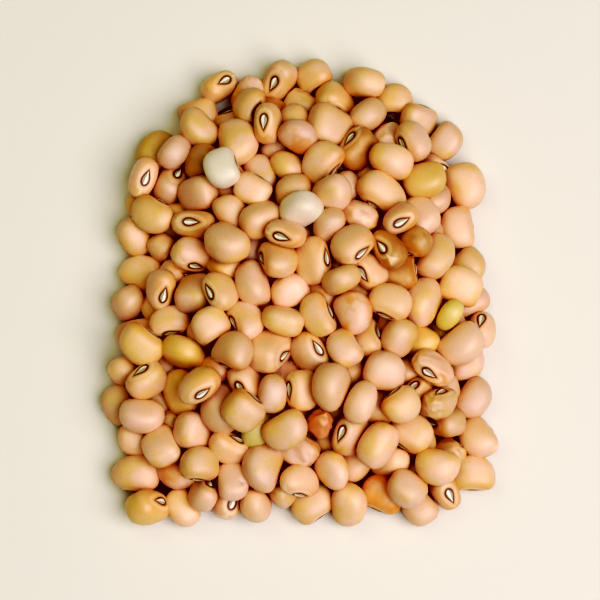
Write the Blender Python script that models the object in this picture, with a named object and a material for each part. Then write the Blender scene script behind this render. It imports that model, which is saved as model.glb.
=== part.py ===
"""A small heap of dried cowpeas, lying loose on a flat surface.

The beans that show are whole kidney-shaped solids at their true size, fused to a smaller core.
Metres, +Z up. The origin is the middle of the heap's flat underside, and +Y is its round end.
"""

import math

import bmesh
import bpy
import numpy as np

# The heap: a half circle on a block with round corners, filled to a gentle dome
HEAP_WIDTH = 0.0764
HEAP_LENGTH = 0.0936
HEAP_HEIGHT = 0.0205
FOOT_HEIGHT = 0.0064
SLOPE_RUN = 0.0150
CORNER_RADIUS = 0.0110
OUTLINE_WAVE = 0.0012
EDGE_CENTRE_DEPTH = 0.0030

# A bean: its width runs from the hilum to the back
BEAN_LENGTH = 0.0086
BEAN_WIDTH = 0.0067
BEAN_THICKNESS = 0.0057
BEAN_BEND = 0.16
BEND_CENTRE = 0.45
SHOULDER_FILL = 0.85
SIZE_SPREAD = 0.075
SIZE_LIMITS = (0.80, 1.16)
FORM_SPREAD = 0.05
FORM_LIMITS = (0.88, 1.12)

# How the beans lie before they settle: turned any way, tipped a little, rolled about their length
TIP_SPREAD = math.radians(22)
ROLL_MEAN = math.radians(12)
ROLL_SPREAD = math.radians(45)

# How the beans are packed, each pushed as two balls in its ends and four in its middle
SEED = 5
POURED_BEANS = 540
LAYER_STEP = 0.0080
LAYER_PITCH = 0.0085
START_SCATTER = 0.0012
FENCE_MARGIN = 0.0030
END_BALL = 0.85
MIDDLE_BALLS = 0.45
NEAR_REACH = 0.0112
NEAR_UPDATE = 8
PUSH_SHARE = 0.55
TURN_RADIUS = 0.0034
TURN_EASE = 2.5
POUR_SINKS = [0.00030] * 120 + [0.00012] * 160 + [0.00003] * 80
REST_SINKS = [0.00004] * 40 + [0.0] * 40
CROWN_SHARE = 0.0022

# How the solids are faceted
SIGHT_CELL = 0.0004
SHOWN_BEANS = 172
LEAST_SHOWN = 4.0e-6
BEAN_SIDES = 6
BEAN_RINGS = 4
FACET_FILL = 1.04
FOOT_GAP = 0.0003
CORE_SIDES = 30
CORE_RINGS = (0.84, 0.62, 0.40, 0.18)
CORE_INSET = 0.0046
CORE_DROP = 0.0006
CORE_BLEND = 0.0040

BEAN_COLOUR = (0.67, 0.35, 0.13, 1.0)
BEAN_ROUGHNESS = 0.42


def clear_scene():
    for obj in list(bpy.data.objects):
        bpy.data.objects.remove(obj, do_unlink=True)


def depth_inside(x, y):
    """How far a point lies inside the outline of the heap, and below zero outside it."""
    radius = HEAP_WIDTH / 2
    centre_y = HEAP_LENGTH / 2 - radius
    foot_y = -HEAP_LENGTH / 2
    round_end = radius - np.hypot(x, y - centre_y)
    side = np.minimum(radius - np.abs(x), y - foot_y)
    past_x = np.abs(x) - (radius - CORNER_RADIUS)
    past_y = foot_y + CORNER_RADIUS - y
    corner = CORNER_RADIUS - np.hypot(past_x, past_y)
    block = np.where((past_x > 0) & (past_y > 0), corner, side)
    return np.where(y > centre_y, round_end, block)


def waved_depth(x, y):
    """The depth inside the outline once it is made uneven, as a poured heap's is."""
    angle = np.arctan2(y, x)
    wave = 0.6 * np.sin(3 * angle + 0.8) + 0.4 * np.sin(7 * angle + 2.1)
    return depth_inside(x, y) + OUTLINE_WAVE * wave


def crest(depth):
    """The height that the heap is filled to, this far inside its outline."""
    rise = HEAP_HEIGHT - FOOT_HEIGHT
    return FOOT_HEIGHT + rise * (1.0 - np.exp(-np.maximum(depth, 0.0) / SLOPE_RUN))


def inward(x, y):
    """Level unit vectors that point from the outline towards its inside."""
    step = 1e-5
    slope_x = depth_inside(x + step, y) - depth_inside(x - step, y)
    slope_y = depth_inside(x, y + step) - depth_inside(x, y - step)
    size = np.hypot(slope_x, slope_y) + 1e-12
    return np.stack([slope_x / size, slope_y / size, np.zeros_like(size)], axis=-1)


def matrices(turns):
    """Rotation matrices of unit quaternions."""
    w, x, y, z = turns.T
    rows = [
        [1 - 2 * (y * y + z * z), 2 * (x * y - w * z), 2 * (x * z + w * y)],
        [2 * (x * y + w * z), 1 - 2 * (x * x + z * z), 2 * (y * z - w * x)],
        [2 * (x * z - w * y), 2 * (y * z + w * x), 1 - 2 * (x * x + y * y)],
    ]
    return np.stack([np.stack(row, axis=-1) for row in rows], axis=-2)


def laid(heading, tip, roll):
    """Unit quaternions of beans rolled about their length, then tipped, then turned about the vertical."""
    (ch, ct, cr), (sh, st, sr) = (f([heading / 2, tip / 2, roll / 2]) for f in (np.cos, np.sin))
    return np.stack(
        [
            cr * ct * ch + sr * st * sh,
            sr * ct * ch - cr * st * sh,
            cr * st * ch + sr * ct * sh,
            cr * ct * sh - sr * st * ch,
        ],
        axis=-1,
    )


def turned(turns, spin):
    """Unit quaternions after a small turn each, given as a rotation vector."""
    w, v = turns[:, :1], turns[:, 1:]
    moved_w = w - 0.5 * np.sum(spin * v, axis=1, keepdims=True)
    moved_v = v + 0.5 * (w * spin + np.cross(spin, v))
    moved = np.concatenate([moved_w, moved_v], axis=1)
    return moved / np.linalg.norm(moved, axis=1, keepdims=True)


class Pile:
    """Beans as rigid groups of six balls, which push each other apart where they overlap."""

    def __init__(self, count):
        rng = np.random.default_rng(SEED)
        size = np.clip(rng.normal(1.0, SIZE_SPREAD, (count, 1)), *SIZE_LIMITS)
        form = np.clip(rng.normal(1.0, FORM_SPREAD, (count, 3)), *FORM_LIMITS)
        self.half = 0.5 * size * form * np.array([BEAN_LENGTH, BEAN_WIDTH, BEAN_THICKNESS])
        self.centre = self.loose_layers(count) + rng.uniform(-START_SCATTER, START_SCATTER, (count, 3))
        heading = rng.uniform(0.0, 2 * math.pi, count)
        tip = rng.normal(0.0, TIP_SPREAD, count)
        self.turns = laid(heading, tip, rng.normal(ROLL_MEAN, ROLL_SPREAD, count))
        self.make_balls()

    @staticmethod
    def loose_layers(count):
        """Places on level layers with room between them, filled from below."""
        reach_x, reach_y = HEAP_WIDTH / 2 + FENCE_MARGIN, HEAP_LENGTH / 2 + FENCE_MARGIN
        x, y = np.meshgrid(
            np.arange(-reach_x + LAYER_PITCH / 2, reach_x, LAYER_PITCH),
            np.arange(-reach_y + LAYER_PITCH / 2, reach_y, LAYER_PITCH),
        )
        x, y = x.ravel(), y.ravel()
        within = depth_inside(x, y) > LAYER_PITCH / 2 - FENCE_MARGIN
        x, y = x[within], y[within]
        layer, slot = np.divmod(np.arange(count), len(x))
        return np.stack([x[slot], y[slot], BEAN_THICKNESS + LAYER_STEP * layer], axis=-1)

    def make_balls(self):
        """Two smaller balls in each bean's ends and four in its middle, in the bean's own frame."""
        length, width, thickness = self.half.T
        end, level = END_BALL * thickness, np.zeros(len(self.half))
        long, short, side = length - end, MIDDLE_BALLS * (length - thickness), width - thickness
        ends = [(long, level), (-long, level)]
        middles = [(short, side), (-short, side), (short, -side), (-short, -side)]
        self.balls = np.stack([np.stack([x, y, level], axis=-1) for x, y in ends + middles], axis=1)
        self.radii = np.stack([end, end] + [thickness] * 4, axis=1)

    def keep(self, kept):
        self.half, self.centre, self.turns = self.half[kept], self.centre[kept], self.turns[kept]
        self.make_balls()

    def one_sided(self, spots, deepest, depth, direction):
        """Pushes that lift beans out of a fixed surface, at the ball that is deepest in it."""
        bean = np.nonzero(depth > 0)[0]
        ball, direction = deepest[bean], direction[bean]
        arm = spots[bean, ball] - self.radii[bean, ball, None] * direction
        lever = np.cross(arm, direction) / TURN_RADIUS
        push = depth[bean] / (1.0 + TURN_EASE * np.sum(lever * lever, axis=1))
        return bean, push[:, None] * direction, TURN_EASE / TURN_RADIUS * push[:, None] * lever

    def two_sided(self, spots, places, first, second):
        """Pushes between neighbours, at the pair of balls that overlaps most."""
        apart = places[first][:, :, None] - places[second][:, None]
        distance = np.sqrt(np.sum(apart * apart, axis=-1))
        overlap = self.radii[first][:, :, None] + self.radii[second][:, None] - distance
        overlap = overlap.reshape(len(first), -1)
        worst = np.argmax(overlap, axis=1)
        row = np.nonzero(overlap[np.arange(len(first)), worst] > 0)[0]
        a, b = first[row], second[row]
        ball_a, ball_b = np.divmod(worst[row], self.radii.shape[1])
        direction = apart[row, ball_a, ball_b] / np.maximum(distance[row, ball_a, ball_b], 1e-9)[:, None]
        arm_a = spots[a, ball_a] - self.radii[a, ball_a, None] * direction
        arm_b = spots[b, ball_b] + self.radii[b, ball_b, None] * direction
        lever_a = np.cross(arm_a, direction) / TURN_RADIUS
        lever_b = np.cross(arm_b, direction) / TURN_RADIUS
        ease = 2.0 + TURN_EASE * (np.sum(lever_a**2, axis=1) + np.sum(lever_b**2, axis=1))
        push = (overlap[row, worst[row]] / ease)[:, None]
        bean = np.concatenate([a, b])
        move = np.concatenate([push * direction, -push * direction])
        spin = TURN_EASE / TURN_RADIUS * np.concatenate([push * lever_a, -push * lever_b])
        return bean, move, spin

    def settle(self, sinks, fence):
        """Lowers all beans bit by bit, and pushes them out of each other, the floor and the fence."""
        number = np.arange(len(self.centre))
        for step, sink in enumerate(sinks):
            if step % NEAR_UPDATE == 0:
                away = np.linalg.norm(self.centre[:, None] - self.centre[None], axis=-1)
                first, second = np.nonzero(np.triu(away < NEAR_REACH, 1))
            self.centre = self.centre - np.array([0.0, 0.0, sink])
            spots = np.einsum("nij,nbj->nbi", matrices(self.turns), self.balls)
            places = spots + self.centre[:, None]
            low = places[..., 2] - self.radii
            lowest = np.argmin(low, axis=1)
            upward = np.tile([0.0, 0.0, 1.0], (len(number), 1))
            room = depth_inside(places[..., 0], places[..., 1]) + fence - self.radii
            tightest = np.argmin(room, axis=1)
            outmost = places[number, tightest]
            pushes = [
                self.two_sided(spots, places, first, second),
                self.one_sided(spots, lowest, -low[number, lowest], upward),
                self.one_sided(spots, tightest, -room[number, tightest], inward(*outmost[:, :2].T)),
            ]
            bean, move, spin = (np.concatenate(parts) for parts in zip(*pushes))
            summed = [np.bincount(bean, way, len(number)) for way in (*move.T, *spin.T)]
            shift, turn = np.split(PUSH_SHARE * np.array(summed).T, 2, axis=1)
            self.centre = np.round(self.centre + shift, 8)
            self.turns = np.round(turned(self.turns, turn), 7)


def centred(pile):
    """Moves the beans together so that the heap's box is centred on the origin."""
    reach = np.sqrt(np.einsum("nij,nj->ni", matrices(pile.turns) ** 2, pile.half**2))
    middle = ((pile.centre - reach).min(axis=0) + (pile.centre + reach).max(axis=0)) / 2
    pile.centre = pile.centre - np.array([middle[0], middle[1], 0.0])


def packed_beans():
    """Pours beans inside a fence, takes off those above the crest or past the outline, and rests them."""
    pile = Pile(POURED_BEANS)
    pile.settle(POUR_SINKS, FENCE_MARGIN)
    depth = waved_depth(pile.centre[:, 0], pile.centre[:, 1])
    below = pile.centre[:, 2] + CROWN_SHARE < crest(depth - EDGE_CENTRE_DEPTH)
    pile.keep(below & (depth > EDGE_CENTRE_DEPTH))
    pile.settle(REST_SINKS, HEAP_LENGTH)
    centred(pile)
    return pile


def area_shown(pile):
    """The area of each bean that shows from straight above, with beans as ellipsoids on a fine grid."""
    reach = int(0.62 * BEAN_LENGTH / SIGHT_CELL)
    size = int(1.3 * HEAP_LENGTH / SIGHT_CELL)
    height, owner = np.zeros((size, size)), np.full((size, size), -1)
    shapes = np.einsum("nij,nj,nkj->nik", matrices(pile.turns), 1.0 / pile.half**2, matrices(pile.turns))
    step = np.arange(-reach, reach + 1)
    for number, (centre, shape) in enumerate(zip(pile.centre, shapes)):
        column, row = (int(round(v / SIGHT_CELL)) + size // 2 for v in centre[:2])
        rows, columns = np.meshgrid(row + step, column + step, indexing="ij")
        x = (columns - size // 2) * SIGHT_CELL - centre[0]
        y = (rows - size // 2) * SIGHT_CELL - centre[1]
        slant = shape[0, 2] * x + shape[1, 2] * y
        flat = shape[0, 0] * x * x + 2 * shape[0, 1] * x * y + shape[1, 1] * y * y
        room = slant * slant - shape[2, 2] * (flat - 1.0)
        top = centre[2] + (-slant + np.sqrt(np.maximum(room, 0.0))) / shape[2, 2]
        seen = (room > 0) & (top > height[rows, columns])
        height[rows[seen], columns[seen]] = top[seen]
        owner[rows[seen], columns[seen]] = number
    return np.bincount(owner[owner >= 0], minlength=len(pile.centre)) * SIGHT_CELL**2


def bean_points(half):
    """Points of a kidney: rings along its length, with its ends bent to the hilum's side."""
    along = np.linspace(0.0, math.pi, BEAN_RINGS + 2)[1:-1, None]
    around = np.arange(BEAN_SIDES) * 2 * math.pi / BEAN_SIDES + math.pi / 2
    swell = np.sin(along) ** SHOULDER_FILL
    x = -np.cos(along) * np.ones(BEAN_SIDES)
    y = swell * np.cos(around) + BEAN_BEND * (x**2 - BEND_CENTRE)
    z = swell * np.sin(around)
    body = np.stack([x, y, z], axis=-1).reshape(-1, 3)
    tip_y = BEAN_BEND * (1.0 - BEND_CENTRE)
    tips = np.array([[-1.0, tip_y, 0.0], [1.0, tip_y, 0.0]])
    return FACET_FILL * np.concatenate([body, tips]) * half


def ring_faces(sides, rings):
    """Quads that join rings of points, each ring following the one before."""
    return [
        (ring * sides + side, ring * sides + after, (ring + 1) * sides + after, (ring + 1) * sides + side)
        for ring in range(rings - 1)
        for side, after in ((s, (s + 1) % sides) for s in range(sides))
    ]


def fan_faces(sides, first, tip):
    """Triangles from the ring that starts at point first to the point tip."""
    return [(first + side, first + (side + 1) % sides, tip) for side in range(sides)]


def solid(name, points, faces, collection):
    """A mesh object of triangles that all point out."""
    mesh = bpy.data.meshes.new(name)
    mesh.from_pydata([tuple(point) for point in points], [], faces)
    work = bmesh.new()
    work.from_mesh(mesh)
    bmesh.ops.recalc_face_normals(work, faces=work.faces)
    bmesh.ops.triangulate(work, faces=work.faces)
    work.to_mesh(mesh)
    work.free()
    obj = bpy.data.objects.new(name, mesh)
    collection.objects.link(obj)
    return obj


def core_height(x, y, centre, weight):
    """Height of the core: the mean height of the bean centres near a point, less a little."""
    away = (x[..., None] - centre[:, 0]) ** 2 + (y[..., None] - centre[:, 1]) ** 2
    near = weight * np.exp(-away / (2 * CORE_BLEND**2)) + 1e-15
    return (near * centre[:, 2]).sum(axis=-1) / near.sum(axis=-1) + FOOT_GAP - CORE_DROP


def core_edge(angle):
    """Distance from the origin to the core's edge in each direction, found by halving."""
    low, high = np.zeros_like(angle), np.full_like(angle, HEAP_LENGTH)
    for _ in range(40):
        middle = (low + high) / 2
        inside = depth_inside(middle * np.cos(angle), middle * np.sin(angle)) > CORE_INSET
        low, high = np.where(inside, middle, low), np.where(inside, high, middle)
    return low


def make_core(centre, weight, collection):
    """The core: rings of points inside the outline, raised to the beans' middles, with a flat underside."""
    angle = np.arange(CORE_SIDES) * 2 * math.pi / CORE_SIDES
    share = np.array([1.0, 1.0, *CORE_RINGS])[:, None]
    x, y = (share * core_edge(angle) * direction for direction in (np.cos(angle), np.sin(angle)))
    z = core_height(x, y, centre, weight)
    z[0] = 0.0
    peak = core_height(np.zeros(1), np.zeros(1), centre, weight)[0]
    points = [*np.stack([x, y, z], axis=-1).reshape(-1, 3), (0.0, 0.0, peak)]
    rings = len(share)
    faces = [tuple(range(CORE_SIDES))] + ring_faces(CORE_SIDES, rings)
    faces += fan_faces(CORE_SIDES, (rings - 1) * CORE_SIDES, len(points) - 1)
    return solid("bean_heap", points, faces, collection)


def make_bean(number, half, turn, centre, collection):
    points = bean_points(half) @ turn.T + centre
    points[:, 2] = np.maximum(points[:, 2], 0.0) + FOOT_GAP
    last_ring, tip = BEAN_SIDES * (BEAN_RINGS - 1), BEAN_SIDES * BEAN_RINGS
    faces = ring_faces(BEAN_SIDES, BEAN_RINGS)
    faces += fan_faces(BEAN_SIDES, 0, tip) + fan_faces(BEAN_SIDES, last_ring, tip + 1)
    return solid(f"bean_{number:03d}", points, faces, collection)


def shells_of(work):
    """The connected groups of points of a mesh."""
    left, shells = set(work.verts), []
    while left:
        start = left.pop()
        shell, rim = {start}, [start]
        while rim:
            for link in rim.pop().link_edges:
                fresh = left.intersection(link.verts)
                left -= fresh
                shell |= fresh
                rim.extend(fresh)
        shells.append(shell)
    return shells


def keep_largest_shell(obj):
    """Drops loose scraps and the walls of hollows that the union sealed."""
    work = bmesh.new()
    work.from_mesh(obj.data)
    shells = sorted(shells_of(work), key=len)
    scraps = [vert for shell in shells[:-1] for vert in shell]
    bmesh.ops.delete(work, geom=scraps, context="VERTS")
    work.to_mesh(obj.data)
    work.free()


def join_beans(core, loose):
    """Fuses the beans to the core and removes the loose copies."""
    union = core.modifiers.new("beans", "BOOLEAN")
    union.operation = "UNION"
    union.operand_type = "COLLECTION"
    union.collection = loose
    union.solver = "MANIFOLD"
    graph = bpy.context.evaluated_depsgraph_get()
    joined = bpy.data.meshes.new_from_object(core.evaluated_get(graph))
    core.modifiers.clear()
    core.data = joined
    for obj in list(loose.objects):
        bpy.data.objects.remove(obj, do_unlink=True)
    bpy.data.collections.remove(loose)
    keep_largest_shell(core)


def bean_material():
    material = bpy.data.materials.new("dried_bean")
    material.use_nodes = True
    shader = material.node_tree.nodes["Principled BSDF"]
    shader.inputs["Base Color"].default_value = BEAN_COLOUR
    shader.inputs["Roughness"].default_value = BEAN_ROUGHNESS
    return material


def main():
    clear_scene()
    scene_collection = bpy.context.scene.collection
    loose = bpy.data.collections.new("loose_beans")
    scene_collection.children.link(loose)
    pile = packed_beans()
    seen = area_shown(pile)
    order = np.argsort(-seen, kind="stable")[:SHOWN_BEANS]
    shown = order[seen[order] > LEAST_SHOWN]
    core = make_core(pile.centre[shown], seen[shown], scene_collection)
    turns = matrices(pile.turns)
    for number in shown:
        make_bean(number, pile.half[number], turns[number], pile.centre[number], loose)
    join_beans(core, loose)
    core.data.materials.clear()
    core.data.materials.append(bean_material())


main()
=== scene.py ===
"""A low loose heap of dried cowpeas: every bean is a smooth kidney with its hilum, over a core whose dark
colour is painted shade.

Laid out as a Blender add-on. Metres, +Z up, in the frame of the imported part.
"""

import functools
import math
import types

import bpy
import numpy as np
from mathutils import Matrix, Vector


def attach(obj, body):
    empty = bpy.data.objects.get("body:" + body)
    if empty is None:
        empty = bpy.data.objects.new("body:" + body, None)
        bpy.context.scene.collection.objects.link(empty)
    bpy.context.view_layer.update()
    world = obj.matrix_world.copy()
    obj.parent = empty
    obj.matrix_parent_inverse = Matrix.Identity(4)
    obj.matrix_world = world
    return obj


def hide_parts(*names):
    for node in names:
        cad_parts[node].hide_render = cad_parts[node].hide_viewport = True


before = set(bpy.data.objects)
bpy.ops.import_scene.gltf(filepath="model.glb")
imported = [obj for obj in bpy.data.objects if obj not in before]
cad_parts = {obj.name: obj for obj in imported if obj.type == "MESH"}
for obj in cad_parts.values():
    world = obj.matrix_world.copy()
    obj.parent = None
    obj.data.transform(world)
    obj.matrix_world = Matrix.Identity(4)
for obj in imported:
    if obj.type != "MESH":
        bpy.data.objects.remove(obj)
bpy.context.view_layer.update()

bl_info = {
    "name": "Heap of dried beans",
    "version": (1, 0, 0),
    "blender": (4, 5, 0),
    "location": "View3D > Sidebar > Beans",
    "description": "Builds a low heap of dried cowpeas with their hilums, on a pale floor",
    "category": "Add Mesh",
}

NODE = "bean_heap"
# The places of a Mix node's factor and colours among its sockets, and of the colour it gives
MIX_INPUTS = (0, 6, 7)
MIX_OUTPUT = 2

# The packing, with the same values as the solids, so that each bean lies where its solid does
OUTLINE_WAVE = 0.0012
# Waves round the outline: strength, number and phase
EDGE_WAVES = ((0.6, 3, 0.8), (0.4, 7, 2.1))
EDGE_CENTRE_DEPTH = 0.0030
SIZE_SPREAD = 0.075
SIZE_LIMITS = (0.80, 1.16)
FORM_SPREAD = 0.05
FORM_LIMITS = (0.88, 1.12)
TIP_SPREAD = math.radians(22)
ROLL_MEAN = math.radians(12)
ROLL_SPREAD = math.radians(45)
LAYER_STEP = 0.0080
LAYER_PITCH = 0.0085
START_SCATTER = 0.0012
FENCE_MARGIN = 0.0030
END_BALL = 0.85
MIDDLE_BALLS = 0.45
NEAR_REACH = 0.0112
NEAR_UPDATE = 8
PUSH_SHARE = 0.55
TURN_RADIUS = 0.0034
TURN_EASE = 2.5
POUR_SINKS = [0.00030] * 120 + [0.00012] * 160 + [0.00003] * 80
REST_SINKS = [0.00004] * 40 + [0.0] * 40
CROWN_SHARE = 0.0022
SETTING_DIGITS = 7
PLACE_DIGITS = 8
TURN_DIGITS = 7
LEAST_SLOPE = 1e-12
LEAST_DISTANCE = 1e-9
# The grid that tells which beans show: its cell, its span in heap lengths, and a bean's reach in its own
SIGHT_CELL = 0.0004
SIGHT_SPAN = 1.3
SIGHT_REACH = 0.62

# The bean's surface. Of each bean's random draws, the first five shape it
BEND_CENTRE = 0.45
BEND_SPREAD = 0.07
TWIST_SPREAD = 0.025
FULLNESS = 2.65
FULLNESS_LIMITS = (-0.50, 0.35)
SHRIVEL_FULLNESS = 1.5
FULLNESS_SPREAD = 0.20
TAPER_SPREAD = 0.05
SHAPE_DRAWS = 8
LUMP = 0.017
FLOOR_GAP = 0.00002
# Rings about the hilum, by radius: the far pole, those inside the hilum, and how the rest crowd and end
RING_REACH = 2.0
INNER_RINGS = (0.40, 0.70, 0.80, 0.92)
RING_CROWDING = 1.12
LAST_RING = 0.965
LAG_REACH = 0.3
BEAN_RINGS = 14
FINE_SIDES = 56
FINE_RINGS = 40
# The hilum's outline and relief, with places and widths on its radius
HILUM_TAPER = 1.1
HILUM_FILL = 1.30
HILUM_POINT = 1.2
CUSHION_EDGE = 0.74
CUSHION_HEIGHT = 0.00022
GROOVE_WIDTH = 0.16
GROOVE_DEPTH = 0.00007
RIM_PLACE = 0.88
RIM_WIDTH = 0.10
RIM_DEPTH = 0.00005
LIP_PLACE = 1.07
LIP_WIDTH = 0.06
LIP_HEIGHT = 0.00005
# Depth of the creases on wrinkled and shrivelled beans, and the share of it that the bean grows back
WRINKLE_DEPTH = 0.027
SHRIVEL_DEPTH = 0.060
FOLD_REGAIN = 0.4
# Folds of a wrinkled bean: the direction across them and how close they lie
FOLDS = (((1.0, 0.3, 0.5), 5.4), ((-0.4, 1.0, 0.6), 7.0), ((0.5, -0.7, 1.0), 4.4))
# Dents: the direction from a bean's middle, the width and the depth
SMALL_DENT = (((0.32, 0.30, 0.90), 0.00060, 0.00030),)
WIDE_DENTS = (((0.30, 0.35, 0.90), 0.00085, 0.00042), ((0.45, -0.35, 0.82), 0.00070, 0.00036))

# The core inside the heap, dark as painted shade in the gaps: its rings run out along the underside and back
# over the top
CORE_INSET = 0.0050
CORE_COVER = 0.0125
CORE_SIDES = 64
CORE_RINGS = (0.0, 0.5, 1.0, 1.0, 0.9, 0.75, 0.6, 0.4, 0.2, 0.0)
UNDERSIDE_RINGS = 3
UNDERSIDE_HEIGHT = 0.0002
LEAST_TOP = 0.0004
REACH_HALVINGS = 40

# Patterns of the seed coat: scale and detail of each noise, and the levels where a patch starts and is full
PATCH_NOISE = (240.0, 3.0)
PATCH_LEVELS = (0.42, 0.62)
BLUSH_NOISE = (190.0, 2.0)
BLUSH_LEVELS = (0.45, 0.65)
BLUSH_SHARE = 0.5
SPECKLE_NOISE = (2200.0, 2.0)
SPECKLE_LEVELS = (0.42, 0.62)
GRAIN_NOISE = (2600.0, 2.0)
MOTTLE_DETAIL = 3.0
# Lightness, from the darkest to the palest bean and grain
SHADE_ENDS = (0.84, 1.08)
GRAIN_ENDS = (0.92, 1.08)

# Finish of the seed coat
BUMP_NOISE = (900.0, 4.0)
BUMP_STRENGTH = 0.25
BUMP_HEIGHT = 0.00004
GLOSS_NOISE = (700.0, 2.0)
ROUGHNESS_ENDS = (0.50, 0.60)
RIM_ROUGHNESS = 0.20
SATIN = {
    "Subsurface Weight": 0.25,
    "Subsurface Scale": 0.0015,
    "Subsurface Radius": (1.0, 0.36, 0.16),
    "Specular IOR Level": 1.0,
    "Coat Weight": 0.5,
    "Coat Roughness": 0.52,
}

# Colours round the hilum. Each fades between two radii, or between two distances from the lip
FLUSH_FADE = (1.02, 1.50)
LEAST_FLUSH = 0.4
BLUNT_FLUSH = 0.4
DUSK_FADE = (1.02, 1.30)
DUSK_SHARE = 0.22
RIM_FADE = (0.97, 1.03)
# The pale ring on the raised lip is a painted highlight
LIP_HIGHLIGHT_FADE = (0.01, 0.06)
LIP_HIGHLIGHT_SHARE = 0.38
# The pale wedge beyond the blunt end widens outwards, and is clearer on the paler beans
WEDGE_FADE = (1.22, 1.42)
WEDGE_START = 1.12
WEDGE_WIDENING = 1.1
WEDGE_EDGE = (0.0, 0.10)
WEDGE_SIDE = (0.0, 0.4)
RIDGE_LEVELS = (0.55, 0.80)
RIDGE_ENDS = (0.15, 0.75)
# The cushion's colours run a little past it at its ends. Beside a pale band, its sides carry painted
# olive-grey shade
CUSHION_OVERLAP = 0.04
CUSHION_NARROWING = 0.12
BAND_OFFSET = 0.14
SHADED_SIDE_FADE = (0.14, 0.38)
SHADED_SIDE_SHARE = 0.9

# The seed coat of each kind: two hues and the patches' hue, then the shares of patches, stain and dent
COMMON_COATS = {
    "tan_beans": (("tan", "peach", "ochre"), 0.6, 0.85, 0.0),
    "peach_beans": (("peach", "tan", "peach"), 0.3, 0.8, 0.0),
    "olive_beans": (("ochre", "tan", "ochre"), 0.8, 0.85, 0.0),
    "brown_beans": (("brown", "brown", "tan"), 0.4, 0.9, 0.0),
    "russet_beans": (("russet", "peach", "russet"), 0.7, 0.9, 0.0),
}
ODD_COATS = {
    "ivory_beans": (("peach", "ivory", "ivory"), 0.3, 0.1, 0.0),
    "green_beans": (("leaf", "pale_leaf", "pale_leaf"), 0.4, 0.1, 0.0),
    "wrinkled_beans": (("tan", "peach", "ochre"), 0.6, 0.9, 0.25),
    "shrivelled_beans": (("rust", "rust", "russet"), 0.4, 0.9, 0.0),
    "dented_beans": (("peach", "peach", "tan"), 0.3, 0.5, 1.0),
}
# How the odd kinds differ in shape
ODD_FORMS = {
    "ivory_beans": {},
    "green_beans": {"turned_over": True},
    "wrinkled_beans": {"wrinkle": WRINKLE_DEPTH, "dents": WIDE_DENTS},
    "shrivelled_beans": {"wrinkle": SHRIVEL_DEPTH, "fullness": SHRIVEL_FULLNESS, "turned_over": True},
    "dented_beans": {"dents": SMALL_DENT},
}
# The seeded draw up to which a bean is of each kind, and the share of all that is wrinkled instead
KIND_LIMITS = {
    "tan_beans": 0.60,
    "peach_beans": 0.87,
    "olive_beans": 0.92,
    "brown_beans": 0.95,
    "russet_beans": 1.0,
}
CREASED_SHARE = 0.06

# The studio: azimuth and elevation of each light in degrees, and its colour
KEY_LIGHT = (58, 56, (1.0, 0.955, 0.985))
FILL_LIGHT = (-125, 60, (0.98, 0.97, 0.62))
LIGHT_SIZE = 0.7
LIGHT_DISTANCE = 0.8
LIGHT_TARGET = (0.0, 0.0, 0.01)
SKY_COLOUR = (1.0, 0.97, 0.93, 1.0)
FLOOR_REACH = 1.5
NEAREST_SEEN = 0.01

# The camera's tone curves: linear level and the level that is shown.
# They deepen the gaps and keep them maroon.
DARK_CURVE = ((0.10, 0.008), (0.21, 0.092), (0.36, 0.316))
RED_CURVE = ((0.05, 0.017), (0.10, 0.024), (0.21, 0.088), (0.36, 0.298))
RED_START = 0.012

# Where the photograph has its odd beans, in pixels of its 600 by 600 frame
FRAME_PIXELS = 600
PIXEL = 0.0002
HEAP_PIXEL = (300, 289)
WHITE_PIXEL = (222, 150)
CREAM_PIXEL = (313, 207)
YELLOW_GREEN_PIXEL = (454, 323)
PALE_GREEN_PIXEL = (268, 425)
RED_WRINKLED_PIXEL = (315, 443)
TAN_WRINKLED_PIXEL = (288, 460)
RUSSET_WRINKLED_PIXEL = (425, 375)
DENTED_PIXEL = (228, 487)
DARK_PIXEL = (413, 300)
RED_BROWN_PIXEL = (185, 465)
ORANGE_PIXEL = (366, 340)
OLIVE_PIXEL = (165, 405)
# Areas in square metres between which a bean shows, where it lies on top, wholly in sight, or half hidden
FULL_SIGHT = (26e-6, 1.0)
OPEN_SIGHT = (35e-6, 50e-6)
HALF_SIGHT = (14e-6, 30e-6)


class HeapSettings(bpy.types.PropertyGroup):
    width: bpy.props.FloatProperty(
        name="Width", description="Width of the heap's outline", default=0.0764, unit="LENGTH"
    )
    length: bpy.props.FloatProperty(
        name="Length", description="Length of the heap's outline", default=0.0936, unit="LENGTH"
    )
    height: bpy.props.FloatProperty(
        name="Height", description="Height that the heap is filled to", default=0.0205, unit="LENGTH"
    )
    foot_height: bpy.props.FloatProperty(
        name="Foot height", description="Height of the heap at its edge", default=0.0064, unit="LENGTH"
    )
    slope_run: bpy.props.FloatProperty(
        name="Slope run", description="How far in the slope reaches", default=0.0150, unit="LENGTH"
    )
    corner_radius: bpy.props.FloatProperty(
        name="Corner radius", description="Radius of the heap's two corners", default=0.0110, unit="LENGTH"
    )
    poured_beans: bpy.props.IntProperty(
        name="Poured beans", description="Beans poured before the heap is cut to its outline", default=540
    )
    seed: bpy.props.IntProperty(name="Seed", description="Seed of every random draw", default=5)


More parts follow.
